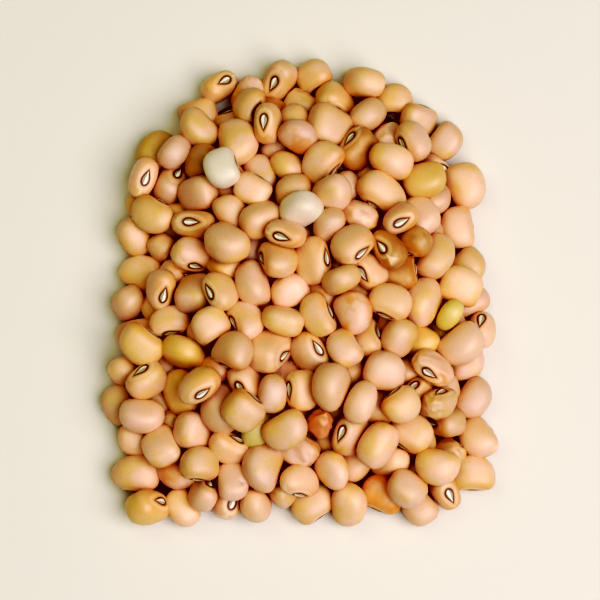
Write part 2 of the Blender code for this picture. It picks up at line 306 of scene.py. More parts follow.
class BeanSettings(bpy.types.PropertyGroup):
    length: bpy.props.FloatProperty(
        name="Length", description="Mean length of a bean", default=0.0086, unit="LENGTH"
    )
    width: bpy.props.FloatProperty(
        name="Width", description="Mean width, from the hilum to the back", default=0.0067, unit="LENGTH"
    )
    thickness: bpy.props.FloatProperty(
        name="Thickness", description="Mean thickness of a bean", default=0.0057, unit="LENGTH"
    )
    bend: bpy.props.FloatProperty(
        name="Bend", description="How far the ends bend to the hilum, as a share of the width", default=0.21
    )
    hilum_length: bpy.props.FloatProperty(
        name="Hilum length", description="Length with the dark rim", default=0.0036, unit="LENGTH"
    )
    hilum_width: bpy.props.FloatProperty(
        name="Hilum width", description="Width with the dark rim", default=0.0019, unit="LENGTH"
    )
    sides: bpy.props.IntProperty(name="Sides", description="Points around each ring of a bean", default=22)


def colour_property(name, description, default):
    return bpy.props.FloatVectorProperty(
        name=name, description=description, default=default, subtype="COLOR", min=0.0, max=1.0
    )


class ColourSettings(bpy.types.PropertyGroup):
    tan: colour_property("Tan", "Seed coat of most beans", (0.765, 0.476, 0.270))
    peach: colour_property("Peach", "Seed coat of the pinker beans", (0.80, 0.508, 0.390))
    ochre: colour_property("Ochre", "Yellow-brown patches and the olive-tan beans", (0.71, 0.448, 0.160))
    russet: colour_property("Russet", "Seed coat of the orange-brown beans", (0.66, 0.27, 0.070))
    brown: colour_property("Brown", "Seed coat of the few darker brown beans", (0.44, 0.22, 0.085))
    rust: colour_property("Rust", "Seed coat of the shrivelled red-brown bean", (0.68, 0.30, 0.17))
    ivory: colour_property("Ivory", "Seed coat of the white and cream beans", (0.90, 0.80, 0.64))
    leaf: colour_property("Leaf", "Seed coat of the yellow-green beans", (0.76, 0.55, 0.15))
    pale_leaf: colour_property("Pale leaf", "Paler shade of the green beans", (0.84, 0.69, 0.35))
    hilum: colour_property("Hilum", "Pale band of the hilum", (0.92, 0.88, 0.74))
    # Olive-grey: painted shade on the hilum's sides, and a grey tint beyond its blunt end and in dents
    olive_grey_and_painted_shade: colour_property("Hilum shade", "Olive-grey sides of the hilum", (0.32, 0.27, 0.17))
    rim: colour_property("Rim", "Dark rim of the hilum", (0.15, 0.035, 0.025))
    # This colour is a painted highlight on the raised lip, and the pale colour of the wedge
    lip: colour_property("Lip", "Pale lip and wedge beside the hilum", (0.90, 0.66, 0.44))
    # Painted shade: the core's dark colour stands for the shade deep in the gaps between beans
    core: colour_property("Core", "Dark inside of the heap", (0.14, 0.040, 0.015))


class StageSettings(bpy.types.PropertyGroup):
    elevation: bpy.props.FloatProperty(
        name="Elevation",
        description="Camera's angle above the floor",
        default=math.radians(80),
        subtype="ANGLE",
    )
    distance: bpy.props.FloatProperty(
        name="Distance", description="Camera's distance from the heap", default=0.42, unit="LENGTH"
    )
    floor: colour_property("Floor", "Colour of the plain floor", (0.785, 0.75, 0.69))
    key_power: bpy.props.FloatProperty(
        name="Key", description="Power of the key light in watts", default=7.95
    )
    fill_power: bpy.props.FloatProperty(
        name="Fill", description="Power of the fill light in watts", default=2.2
    )
    sky: bpy.props.FloatProperty(name="Sky", description="Strength of the even light all round", default=0.06)


def typed(settings):
    """Settings as they were typed, because Blender keeps only seven digits and the packing needs them all."""
    values = {name: round(getattr(settings, name), SETTING_DIGITS) for name in type(settings).__annotations__}
    return types.SimpleNamespace(**values)


@functools.lru_cache(maxsize=1)
def heap_settings():
    return typed(bpy.context.scene.dried_heap)


@functools.lru_cache(maxsize=1)
def bean_settings():
    return typed(bpy.context.scene.dried_bean)


def colours():
    return bpy.context.scene.dried_colours


def depth_inside(x, y):
    """How far a point lies inside the heap's outline: a half circle on a block with round corners."""
    heap = heap_settings()
    radius = heap.width / 2
    centre_y = heap.length / 2 - radius
    foot_y = -heap.length / 2
    round_end = radius - np.hypot(x, y - centre_y)
    side = np.minimum(radius - np.abs(x), y - foot_y)
    past_x = np.abs(x) - (radius - heap.corner_radius)
    past_y = foot_y + heap.corner_radius - y
    corner = heap.corner_radius - np.hypot(past_x, past_y)
    block = np.where((past_x > 0) & (past_y > 0), corner, side)
    return np.where(y > centre_y, round_end, block)


def waved_depth(x, y):
    """The depth inside the outline once sines round it have made it uneven, as a poured heap's is."""
    angle = np.arctan2(y, x)
    wave = sum(strength * np.sin(number * angle + phase) for strength, number, phase in EDGE_WAVES)
    return depth_inside(x, y) + OUTLINE_WAVE * wave


def crest(depth):
    """The height that the heap is filled to: it nears its full height as one less a falling exponential."""
    heap = heap_settings()
    rise = heap.height - heap.foot_height
    return heap.foot_height + rise * (1.0 - np.exp(-np.maximum(depth, 0.0) / heap.slope_run))


def inward(x, y):
    """Level unit vectors that point from the outline towards its inside."""
    step = 1e-5
    slope_x = depth_inside(x + step, y) - depth_inside(x - step, y)
    slope_y = depth_inside(x, y + step) - depth_inside(x, y - step)
    size = np.hypot(slope_x, slope_y) + LEAST_SLOPE
    return np.stack([slope_x / size, slope_y / size, np.zeros_like(size)], axis=-1)


def matrices(turns):
    """Rotation matrices of unit quaternions."""
    w, x, y, z = turns.T
    rows = [
        [1 - 2 * (y * y + z * z), 2 * (x * y - w * z), 2 * (x * z + w * y)],
        [2 * (x * y + w * z), 1 - 2 * (x * x + z * z), 2 * (y * z - w * x)],
        [2 * (x * z - w * y), 2 * (y * z + w * x), 1 - 2 * (x * x + y * y)],
    ]
    return np.stack([np.stack(row, axis=-1) for row in rows], axis=-2)


def laid(heading, tip, roll):
    """Unit quaternions of beans rolled about their length, then tipped, then turned about the vertical."""
    (ch, ct, cr), (sh, st, sr) = (f([heading / 2, tip / 2, roll / 2]) for f in (np.cos, np.sin))
    return np.stack(
        [
            cr * ct * ch + sr * st * sh,
            sr * ct * ch - cr * st * sh,
            cr * st * ch + sr * ct * sh,
            cr * ct * sh - sr * st * ch,
        ],
        axis=-1,
    )


def turned(turns, spin):
    """Unit quaternions after a small turn each, given as a rotation vector."""
    w, v = turns[:, :1], turns[:, 1:]
    moved_w = w - 0.5 * np.sum(spin * v, axis=1, keepdims=True)
    moved_v = v + 0.5 * (w * spin + np.cross(spin, v))
    moved = np.concatenate([moved_w, moved_v], axis=1)
    return moved / np.linalg.norm(moved, axis=1, keepdims=True)


class Pile:
    """Beans as rigid groups of six balls, which push each other apart where they overlap."""

    def __init__(self, count, seed, size):
        rng = np.random.default_rng(seed)
        scale = np.clip(rng.normal(1.0, SIZE_SPREAD, (count, 1)), *SIZE_LIMITS)
        form = np.clip(rng.normal(1.0, FORM_SPREAD, (count, 3)), *FORM_LIMITS)
        self.half = 0.5 * scale * form * np.array(size)
        self.centre = loose_layers(count, size[2]) + rng.uniform(-START_SCATTER, START_SCATTER, (count, 3))
        heading = rng.uniform(0.0, 2 * math.pi, count)
        tip = rng.normal(0.0, TIP_SPREAD, count)
        self.turns = laid(heading, tip, rng.normal(ROLL_MEAN, ROLL_SPREAD, count))
        self.make_balls()

    def make_balls(self):
        """Two smaller balls in each bean's ends and four in its middle, in the bean's own frame."""
        length, width, thickness = self.half.T
        end, level = END_BALL * thickness, np.zeros(len(self.half))
        long, short, side = length - end, MIDDLE_BALLS * (length - thickness), width - thickness
        ends = [(long, level), (-long, level)]
        middles = [(short, side), (-short, side), (short, -side), (-short, -side)]
        self.balls = np.stack([np.stack([x, y, level], axis=-1) for x, y in ends + middles], axis=1)
        self.radii = np.stack([end, end] + [thickness] * 4, axis=1)

    def keep(self, kept):
        """Takes the other beans off the pile."""
        self.half, self.centre, self.turns = self.half[kept], self.centre[kept], self.turns[kept]
        self.make_balls()

    def one_sided(self, spots, deepest, depth, direction):
        """Pushes that lift beans out of a fixed surface, at the ball that is deepest in it."""
        bean = np.nonzero(depth > 0)[0]
        ball, direction = deepest[bean], direction[bean]
        arm = spots[bean, ball] - self.radii[bean, ball, None] * direction
        lever = np.cross(arm, direction) / TURN_RADIUS
        push = depth[bean] / (1.0 + TURN_EASE * np.sum(lever * lever, axis=1))
        return bean, push[:, None] * direction, TURN_EASE / TURN_RADIUS * push[:, None] * lever

    def two_sided(self, spots, places, first, second):
        """Pushes between neighbours, at the pair of balls that overlaps most."""
        apart = places[first][:, :, None] - places[second][:, None]
        distance = np.sqrt(np.sum(apart * apart, axis=-1))
        overlap = self.radii[first][:, :, None] + self.radii[second][:, None] - distance
        overlap = overlap.reshape(len(first), -1)
        worst = np.argmax(overlap, axis=1)
        row = np.nonzero(overlap[np.arange(len(first)), worst] > 0)[0]
        a, b = first[row], second[row]
        ball_a, ball_b = np.divmod(worst[row], self.radii.shape[1])
        between = np.maximum(distance[row, ball_a, ball_b], LEAST_DISTANCE)
        direction = apart[row, ball_a, ball_b] / between[:, None]
        arm_a = spots[a, ball_a] - self.radii[a, ball_a, None] * direction
        arm_b = spots[b, ball_b] + self.radii[b, ball_b, None] * direction
        lever_a = np.cross(arm_a, direction) / TURN_RADIUS
        lever_b = np.cross(arm_b, direction) / TURN_RADIUS
        ease = 2.0 + TURN_EASE * (np.sum(lever_a**2, axis=1) + np.sum(lever_b**2, axis=1))
        push = (overlap[row, worst[row]] / ease)[:, None]
        bean = np.concatenate([a, b])
        move = np.concatenate([push * direction, -push * direction])
        spin = TURN_EASE / TURN_RADIUS * np.concatenate([push * lever_a, -push * lever_b])
        return bean, move, spin

    def settle(self, sinks, fence):
        """Lowers all beans bit by bit, and pushes them out of each other, the floor and the fence."""
        number = np.arange(len(self.centre))
        for step, sink in enumerate(sinks):
            if step % NEAR_UPDATE == 0:
                away = np.linalg.norm(self.centre[:, None] - self.centre[None], axis=-1)
                first, second = np.nonzero(np.triu(away < NEAR_REACH, 1))
            self.centre = self.centre - np.array([0.0, 0.0, sink])
            spots = np.einsum("nij,nbj->nbi", matrices(self.turns), self.balls)
            places = spots + self.centre[:, None]
            low = places[..., 2] - self.radii
            lowest = np.argmin(low, axis=1)
            upward = np.tile([0.0, 0.0, 1.0], (len(number), 1))
            room = depth_inside(places[..., 0], places[..., 1]) + fence - self.radii
            tightest = np.argmin(room, axis=1)
            outmost = places[number, tightest]
            pushes = [
                self.two_sided(spots, places, first, second),
                self.one_sided(spots, lowest, -low[number, lowest], upward),
                self.one_sided(spots, tightest, -room[number, tightest], inward(*outmost[:, :2].T)),
            ]
            bean, move, spin = (np.concatenate(parts) for parts in zip(*pushes))
            summed = [np.bincount(bean, way, len(number)) for way in (*move.T, *spin.T)]
            shift, turn = np.split(PUSH_SHARE * np.array(summed).T, 2, axis=1)
            self.centre = np.round(self.centre + shift, PLACE_DIGITS)
            self.turns = np.round(turned(self.turns, turn), TURN_DIGITS)


def loose_layers(count, thickness):
    """Places on level layers with room between them, filled from below."""
    heap = heap_settings()
    reach_x, reach_y = heap.width / 2 + FENCE_MARGIN, heap.length / 2 + FENCE_MARGIN
    x, y = np.meshgrid(
        np.arange(-reach_x + LAYER_PITCH / 2, reach_x, LAYER_PITCH),
        np.arange(-reach_y + LAYER_PITCH / 2, reach_y, LAYER_PITCH),
    )
    x, y = x.ravel(), y.ravel()
    within = depth_inside(x, y) > LAYER_PITCH / 2 - FENCE_MARGIN
    x, y = x[within], y[within]
    layer, slot = np.divmod(np.arange(count), len(x))
    return np.stack([x[slot], y[slot], thickness + LAYER_STEP * layer], axis=-1)


@functools.lru_cache(maxsize=1)
def packed_beans():
    """Pours beans inside a fence, takes off those above the crest or past the outline, and rests them."""
    heap, bean = heap_settings(), bean_settings()
    pile = Pile(heap.poured_beans, heap.seed, (bean.length, bean.width, bean.thickness))
    pile.settle(POUR_SINKS, FENCE_MARGIN)
    depth = waved_depth(pile.centre[:, 0], pile.centre[:, 1])
    below = pile.centre[:, 2] + CROWN_SHARE < crest(depth - EDGE_CENTRE_DEPTH)
    pile.keep(below & (depth > EDGE_CENTRE_DEPTH))
    pile.settle(REST_SINKS, heap.length)
    reach = np.sqrt(np.einsum("nij,nj->ni", matrices(pile.turns) ** 2, pile.half**2))
    middle = ((pile.centre - reach).min(axis=0) + (pile.centre + reach).max(axis=0)) / 2
    pile.centre = pile.centre - np.array([middle[0], middle[1], 0.0])
    return pile


@functools.lru_cache(maxsize=1)
def area_shown():
    """The area of each bean that shows from straight above, with beans as ellipsoids on a fine grid."""
    pile, bean, heap = packed_beans(), bean_settings(), heap_settings()
    reach = int(SIGHT_REACH * bean.length / SIGHT_CELL)
    size = int(SIGHT_SPAN * heap.length / SIGHT_CELL)
    height, owner = np.zeros((size, size)), np.full((size, size), -1)
    shapes = np.einsum("nij,nj,nkj->nik", matrices(pile.turns), 1.0 / pile.half**2, matrices(pile.turns))
    step = np.arange(-reach, reach + 1)
    for number, (centre, shape) in enumerate(zip(pile.centre, shapes)):
        column, row = (int(round(v / SIGHT_CELL)) + size // 2 for v in centre[:2])
        rows, columns = np.meshgrid(row + step, column + step, indexing="ij")
        x = (columns - size // 2) * SIGHT_CELL - centre[0]
        y = (rows - size // 2) * SIGHT_CELL - centre[1]
        slant = shape[0, 2] * x + shape[1, 2] * y
        flat = shape[0, 0] * x * x + 2 * shape[0, 1] * x * y + shape[1, 1] * y * y
        room = slant * slant - shape[2, 2] * (flat - 1.0)
        top = centre[2] + (-slant + np.sqrt(np.maximum(room, 0.0))) / shape[2, 2]
        seen = (room > 0) & (top > height[rows, columns])
        height[rows[seen], columns[seen]] = top[seen]
        owner[rows[seen], columns[seen]] = number
    return np.bincount(owner[owner >= 0], minlength=len(pile.centre)) * SIGHT_CELL**2


def bean_near(pixel, least=FULL_SIGHT[0], most=FULL_SIGHT[1]):
    """The bean that lies nearest to a place in the photograph, of those that show between two areas."""
    place = PIXEL * np.array([pixel[0] - HEAP_PIXEL[0], HEAP_PIXEL[1] - pixel[1]])
    away = np.linalg.norm(packed_beans().centre[:, :2] - place, axis=1)
    fitting = (area_shown() > least) & (area_shown() < most)
    return int(np.argmin(np.where(fitting, away, np.inf)))


@functools.lru_cache(maxsize=1)
def sorted_beans():
    """Bean numbers by kind: the odd ones by their places, and the rest by a seeded draw."""
    kinds = {
        "ivory_beans": [bean_near(WHITE_PIXEL, *OPEN_SIGHT), bean_near(CREAM_PIXEL)],
        "green_beans": [bean_near(pixel, *HALF_SIGHT) for pixel in (YELLOW_GREEN_PIXEL, PALE_GREEN_PIXEL)],
        "wrinkled_beans": [bean_near(pixel) for pixel in (TAN_WRINKLED_PIXEL, RUSSET_WRINKLED_PIXEL)],
        "shrivelled_beans": [bean_near(RED_WRINKLED_PIXEL, *HALF_SIGHT)],
        "dented_beans": [bean_near(DENTED_PIXEL)],
        "russet_beans": [bean_near(pixel) for pixel in (RED_BROWN_PIXEL, ORANGE_PIXEL)],
        "brown_beans": [bean_near(DARK_PIXEL, *HALF_SIGHT)],
        "olive_beans": [bean_near(OLIVE_PIXEL)],
    }
    taken = {number for numbers in kinds.values() for number in numbers}
    count = len(packed_beans().centre)
    draw, crease = np.random.default_rng(heap_settings().seed + 1).uniform(size=(2, count))
    for number in range(count):
        if number not in taken:
            kind = next(name for name, limit in KIND_LIMITS.items() if draw[number] <= limit)
            kind = "wrinkled_beans" if crease[number] < CREASED_SHARE else kind
            kinds.setdefault(kind, []).append(number)
    return kinds


def hilum_outline(around):
    """A drop: its length times the cosine, and its width times the sine, narrowed towards one end."""
    bean = bean_settings()
    narrowing = HILUM_FILL * np.abs(np.sin((around + math.pi) / 2)) ** HILUM_TAPER
    across = np.sign(np.sin(around)) * np.abs(np.sin(around)) ** HILUM_POINT
    return bean.hilum_length / 2 * np.cos(around), bean.hilum_width / 2 * across * narrowing


def bell(away, width):
    """A bell curve: the exponential of minus the square of a distance in widths."""
    return np.exp(-((away / width) ** 2))


def hilum_relief(radius, around):
    """Height over the seed coat: a cushion with a groove along it, a sunk rim and a raised lip.

    The cushion is a parabola of the radius. The groove, the rim and the lip are bell curves.
    """
    cushion = CUSHION_HEIGHT * np.clip(1.0 - (radius / CUSHION_EDGE) ** 2, 0.0, 1.0)
    groove = -GROOVE_DEPTH * bell(radius * np.sin(around), GROOVE_WIDTH) * (radius < CUSHION_EDGE)
    rim = -RIM_DEPTH * bell(radius - RIM_PLACE, RIM_WIDTH)
    lip = LIP_HEIGHT * bell(radius - LIP_PLACE, LIP_WIDTH)
    return cushion + groove + rim + lip


def ring_radii(rings):
    """Ring places: 0 to 1 inside the hilum, and 1 to 2 from its edge over the seed coat to the far pole."""
    coat = 1.0 + np.linspace(0.0, 1.0, rings) ** RING_CROWDING * LAST_RING
    return np.concatenate([INNER_RINGS, coat])


def bean_points(numbers, sides, radii, wrinkle=0.0, fullness=FULLNESS, turned_over=False):
    """Points of beans on rings about their hilums.

    A ring's polar angle is worked out from the hilum's outline up to radius 1 and then grows evenly to
    the far pole. The direction meets a body whose powers of x, y and z sum to one. Sines make it lumpy,
    and creased where it has wrinkles. It is tapered along x, and bent and twisted by the square of x.
    Turned over, a bean has its back where its hilum was.
    """
    pile = packed_beans()
    rng = np.random.default_rng(heap_settings().seed + 2)
    draws = rng.normal(0.0, 1.0, (len(pile.centre), SHAPE_DRAWS))[numbers]
    fuller, phase, tapered, bent, twisted, *_ = draws.T[..., None, None]
    half = pile.half[numbers][:, None, None, :]
    around = np.arange(sides) * 2 * math.pi / sides
    radius = np.concatenate([[0.0], radii, [RING_REACH]])[:, None]
    p, q = hilum_outline(around)
    edge_x, edge_z = p / half[..., 0], q / half[..., 2]
    edge_polar = np.arcsin(np.hypot(edge_x, edge_z))
    edge_turn = np.arctan2(edge_z, edge_x)
    past = np.clip(radius - 1.0, 0.0, 1.0)
    polar = edge_polar * np.minimum(radius, 1.0) + (math.pi - edge_polar) * past
    lag = np.mod(edge_turn - around + math.pi, 2 * math.pi) - math.pi
    turn = around + lag * (1.0 - np.minimum(past / LAG_REACH, 1.0)) ** 2
    level = np.sin(polar)
    direction = np.stack([level * np.cos(turn), np.cos(polar), level * np.sin(turn)], axis=-1)
    power = fullness + np.clip(FULLNESS_SPREAD * fuller, *FULLNESS_LIMITS)
    reach = np.sum(np.abs(direction) ** power[..., None], axis=-1) ** (-1.0 / power)
    lump = 1.0 + LUMP * level * (np.sin(2 * turn + 5 * phase) + np.sin(3 * polar + 7 * phase))
    shape = direction * (reach * lump)[..., None]
    if wrinkle:
        folds = sum(np.sin(shape @ np.array(way) * pace + 3 * phase) for way, pace in FOLDS)
        shape = shape * (1.0 - wrinkle * np.abs(folds))[..., None] * (1.0 + FOLD_REGAIN * wrinkle)
    x = shape[..., 0]
    taper = 1.0 + TAPER_SPREAD * tapered * x
    bend = bean_settings().bend + BEND_SPREAD * bent
    y = shape[..., 1] * taper + bend * (x**2 - BEND_CENTRE)
    z = shape[..., 2] * taper + TWIST_SPREAD * twisted * x**2
    local = np.stack([x, y, z], axis=-1) * half
    local[..., 1] += hilum_relief(radius, around)
    if turned_over:
        local = local * np.array([1.0, -1.0, -1.0])
    world = np.einsum("nij,nrsj->nrsi", matrices(pile.turns[numbers]), local)
    world += pile.centre[numbers][:, None, None]
    world[..., 2] = np.maximum(world[..., 2], FLOOR_GAP)
    return world


def spread_ways(way, numbers):
    """One direction for each bean: the given one, turned about the vertical by a random angle each."""
    rng = np.random.default_rng(heap_settings().seed + 4)
    spin = rng.uniform(0.0, 2 * math.pi, len(packed_beans().centre))[numbers]
    lean, rise = math.hypot(way[0], way[1]), way[2]
    return np.stack([lean * np.cos(spin), lean * np.sin(spin), np.full(len(spin), rise)], axis=1)


def pressed(points, ways, width, depth):
    """Presses a dent into each bean, where it reaches furthest along its direction.

    A point moves against the direction by the depth times a bell curve of its distance from that place.
    Gives the moved points and the curve, which is 1 in the dent's middle.
    """
    ways = ways / np.linalg.norm(ways, axis=1, keepdims=True)
    flat = points.reshape(len(points), -1, 3)
    furthest = flat[np.arange(len(flat)), np.argmax(np.einsum("nij,nj->ni", flat, ways), axis=1)]
    away = np.linalg.norm(points - furthest[:, None, None], axis=-1)
    press = bell(away, width)
    return points - depth * press[..., None] * ways[:, None, None], press


def grid_mesh(name, points, radii):
    """One mesh of many beans from their rings, with a UV map of turn and ring, and closed poles."""
    count, rows, sides, _ = points.shape
    rings = rows - 2
    body = points[:, 1:-1].reshape(count, rings * sides, 3)
    poles = points[:, [0, -1], 0]
    verts = np.concatenate([body, poles], axis=1)
    ring, side = (v.ravel() for v in np.meshgrid(np.arange(rings - 1), np.arange(sides), indexing="ij"))
    after, below = (side + 1) % sides, ring + 1
    upper, lower = ring * sides, below * sides
    quads = np.stack([upper + side, upper + after, lower + after, lower + side], axis=1)
    edge = np.arange(sides)
    first, last = rings * sides, rings * sides + 1
    start = np.stack([np.full(sides, first), (edge + 1) % sides, edge], axis=1)
    foot = (rings - 1) * sides
    end = np.stack([np.full(sides, last), foot + edge, foot + (edge + 1) % sides], axis=1)
    quad_turn = np.stack([side, side + 1, side + 1, side], axis=1) / sides
    quad_ring = np.stack([radii[ring], radii[ring], radii[below], radii[below]], axis=1) / RING_REACH
    start_turn = np.stack([edge + 0.5, edge + 1, edge], axis=1) / sides
    start_ring = np.tile([0.0, radii[0], radii[0]], (sides, 1)) / RING_REACH
    end_turn = np.stack([edge + 0.5, edge, edge + 1], axis=1) / sides
    end_ring = np.tile([RING_REACH, radii[-1], radii[-1]], (sides, 1)) / RING_REACH
    corners = np.concatenate([quads.ravel(), start.ravel(), end.ravel()])
    turns = np.concatenate([quad_turn.ravel(), start_turn.ravel(), end_turn.ravel()])
    rings_at = np.concatenate([quad_ring.ravel(), start_ring.ravel(), end_ring.ravel()])
    sizes = np.concatenate([np.full(len(quads), 4), np.full(2 * sides, 3)])
    all_corners = (corners + verts.shape[1] * np.arange(count)[:, None]).ravel()
    all_sizes = np.tile(sizes, count)
    mesh = bpy.data.meshes.new(name)
    mesh.vertices.add(count * verts.shape[1])
    mesh.vertices.foreach_set("co", verts.ravel())
    mesh.loops.add(len(all_corners))
    mesh.loops.foreach_set("vertex_index", all_corners)
    mesh.polygons.add(len(all_sizes))
    mesh.polygons.foreach_set("loop_start", np.concatenate([[0], np.cumsum(all_sizes)[:-1]]))
    mesh.polygons.foreach_set("use_smooth", np.ones(len(all_sizes), bool))
    mesh.update(calc_edges=True)
    pattern = mesh.uv_layers.new(name="hilum")
    pattern.data.foreach_set("uv", np.tile(np.stack([turns, rings_at], axis=1).ravel(), count))
    mesh.validate()
    return mesh


def add_tones(mesh, numbers):
    """Stores three random values for each bean at its points: hue, lightness and stain."""
    rng = np.random.default_rng(heap_settings().seed + 3)
    tones = rng.uniform(0.0, 1.0, (len(packed_beans().centre), 3))[numbers]
    per_bean = len(mesh.vertices) // len(numbers)
    layer = mesh.attributes.new("tone", "FLOAT_VECTOR", "POINT")
    layer.data.foreach_set("vector", np.repeat(tones, per_bean, axis=0).ravel())


class Coat:
    """A material that is put together from shader nodes."""

    def __init__(self, name):
        self.material = bpy.data.materials.new(name)
        self.material.use_nodes = True
        self.tree = self.material.node_tree
        self.shader = self.tree.nodes["Principled BSDF"]

    def feed(self, socket, value):
        """Links a socket to another one, or sets its own value."""
        if isinstance(value, bpy.types.NodeSocket):
            self.tree.links.new(value, socket)
        elif value is not None:
            socket.default_value = value

    def add(self, kind, *inputs, **settings):
        """Adds a node, with its first inputs fed in order, and gives its first output."""
        node = self.tree.nodes.new(kind)
        for name, value in settings.items():
            setattr(node, name, value)
        for socket, value in zip(node.inputs, inputs):
            self.feed(socket, value)
        return node.outputs[0]

    def maths(self, operation, first, second=None, third=None):
        return self.add("ShaderNodeMath", first, second, third, operation=operation)

    def times(self, first, second):
        return self.maths("MULTIPLY", first, second)

    def ranged(self, value, ends):
        """Moves evenly from one end to the other as a value goes from 0 to 1."""
        start, end = ends
        return self.maths("MULTIPLY_ADD", value, end - start, start)

    def between(self, value, low, high):
        """Rises smoothly from 0 at low to 1 at high."""
        return self.add("ShaderNodeMapRange", value, low, high, interpolation_type="SMOOTHSTEP")

    def falling(self, value, low, high):
        """Falls smoothly from 1 at low to 0 at high."""
        return self.maths("SUBTRACT", 1.0, self.between(value, low, high))

    def blend(self, factor, first, second, way="MIX"):
        """Mixes two colours. A Mix node has sockets of the same names for other kinds of values too."""
        node = self.tree.nodes.new("ShaderNodeMix")
        node.data_type = "RGBA"
        node.blend_type = way
        for index, value in zip(MIX_INPUTS, (factor, first, second)):
            self.feed(node.inputs[index], value)
        return node.outputs[MIX_OUTPUT]

    def noise(self, scale, detail):
        """Noise on the object's own coordinates."""
        place = self.tree.nodes.new("ShaderNodeTexCoord").outputs["Object"]
        return self.add("ShaderNodeTexNoise", place, None, scale, detail)

    def add_attribute(self, name):
        node = self.tree.nodes.new("ShaderNodeAttribute")
        node.attribute_name = name
        return node

    def split(self, vector):
        return self.add("ShaderNodeSeparateXYZ", vector).node.outputs

    def finish(self, colour, roughness):
        self.feed(self.shader.inputs["Base Color"], colour)
        self.feed(self.shader.inputs["Roughness"], roughness)
        return self.material


def rgba(colour):
    return (*colour, 1.0)


def painted_hilum(coat, colour, radius, angle, flush, ridge):
    """Colours of the hilum and round it: a pale band with painted shade at its sides, the dark rim and a
    painted highlight on the lip.

    Outside the lip come a flush, strongest at the pointed end, and a grey dusk and a pale wedge at the
    blunt one. Radius is 1 at the rim's outer edge, and the angle is 0 at the blunt end. The wedge is
    where the size of the angle's sine is less than a line that rises with the radius.
    """
    palette = colours()
    along, across = coat.maths("COSINE", angle), coat.maths("SINE", angle)
    blunt = coat.maths("MAXIMUM", along, 0.0)
    pointed = coat.maths("MAXIMUM", coat.times(along, -1.0), 0.0)

    flushed = coat.times(flush, coat.ranged(pointed, (BLUNT_FLUSH, 1.0)))
    flushed = coat.times(coat.falling(radius, *FLUSH_FADE), flushed)
    colour = coat.blend(flushed, colour, rgba(palette.russet))
    dusk = coat.times(coat.falling(radius, *DUSK_FADE), coat.times(blunt, DUSK_SHARE))
    colour = coat.blend(dusk, colour, rgba(palette.olive_grey_and_painted_shade))

    beside = coat.maths("ABSOLUTE", across)
    spread = coat.maths("MULTIPLY_ADD", radius, -WEDGE_WIDENING, coat.maths("ADD", beside, WEDGE_START))
    wedge = coat.times(coat.falling(spread, *WEDGE_EDGE), coat.between(along, *WEDGE_SIDE))
    wedge = coat.times(wedge, coat.falling(radius, *WEDGE_FADE))
    colour = coat.blend(coat.times(wedge, ridge), colour, rgba(palette.lip))
    off_lip = coat.maths("ABSOLUTE", coat.maths("SUBTRACT", radius, LIP_PLACE))
    # Painted highlight: a pale ring along the raised lip
    lip = coat.times(coat.falling(off_lip, *LIP_HIGHLIGHT_FADE), LIP_HIGHLIGHT_SHARE)
    colour = coat.blend(lip, colour, rgba(palette.lip))

    rim = coat.falling(radius, *RIM_FADE)
    colour = coat.blend(rim, colour, rgba(palette.rim))
    edge = coat.maths("MULTIPLY_ADD", beside, -CUSHION_NARROWING, CUSHION_EDGE + CUSHION_OVERLAP)
    off_band = coat.maths("ABSOLUTE", coat.maths("MULTIPLY_ADD", radius, across, BAND_OFFSET))
    # Painted shade: the cushion's sides are greyed as if shaded beside its pale band
    painted_side_shade = coat.times(coat.between(off_band, *SHADED_SIDE_FADE), SHADED_SIDE_SHARE)
    cushion = coat.blend(painted_side_shade, rgba(palette.hilum), rgba(palette.olive_grey_and_painted_shade))
    return coat.blend(coat.maths("LESS_THAN", radius, edge), colour, cushion), rim


def seed_coat(name, hues, patch_share, stain_share, dent_share):
    """Satin seed coat: two hues mixed bean by bean, patches of a third, and the hilum with its dark rim."""
    palette = colours()
    first, second, patch = (rgba(getattr(palette, hue)) for hue in hues)
    coat = Coat(name)
    turn, ring, _ = coat.split(coat.add("ShaderNodeUVMap", uv_map="hilum"))
    angle = coat.times(turn, 2 * math.pi)
    radius = coat.times(ring, RING_REACH)
    mix, light, stain = coat.split(coat.add_attribute("tone").outputs["Vector"])

    patches = coat.times(coat.between(coat.noise(*PATCH_NOISE), *PATCH_LEVELS), patch_share)
    colour = coat.blend(patches, coat.blend(mix, first, second), patch)
    blush = coat.times(coat.between(coat.noise(*BLUSH_NOISE), *BLUSH_LEVELS), BLUSH_SHARE)
    colour = coat.blend(blush, colour, second)
    shade = coat.ranged(light, SHADE_ENDS)
    grain = coat.ranged(coat.noise(*GRAIN_NOISE), GRAIN_ENDS)
    colour = coat.blend(1.0, colour, coat.times(shade, grain), "MULTIPLY")

    if dent_share:
        dent = coat.add_attribute("dent").outputs["Fac"]
        speckle = coat.between(coat.noise(*SPECKLE_NOISE), *SPECKLE_LEVELS)
        stained = coat.times(coat.times(dent, speckle), dent_share)
        colour = coat.blend(stained, colour, rgba(palette.olive_grey_and_painted_shade))
    flush = coat.ranged(stain, (LEAST_FLUSH * stain_share, stain_share))
    ridge = coat.ranged(coat.between(light, *RIDGE_LEVELS), RIDGE_ENDS)
    colour, rim = painted_hilum(coat, colour, radius, angle, flush, ridge)

    bump = coat.tree.nodes.new("ShaderNodeBump")
    bump.inputs["Strength"].default_value = BUMP_STRENGTH
    bump.inputs["Distance"].default_value = BUMP_HEIGHT
    coat.feed(bump.inputs["Height"], coat.noise(*BUMP_NOISE))
    coat.feed(coat.shader.inputs["Normal"], bump.outputs["Normal"])
    for socket, value in SATIN.items():
        coat.shader.inputs[socket].default_value = value
    roughness = coat.ranged(coat.noise(*GLOSS_NOISE), ROUGHNESS_ENDS)
    return coat.finish(colour, coat.maths("MULTIPLY_ADD", rim, RIM_ROUGHNESS, roughness))


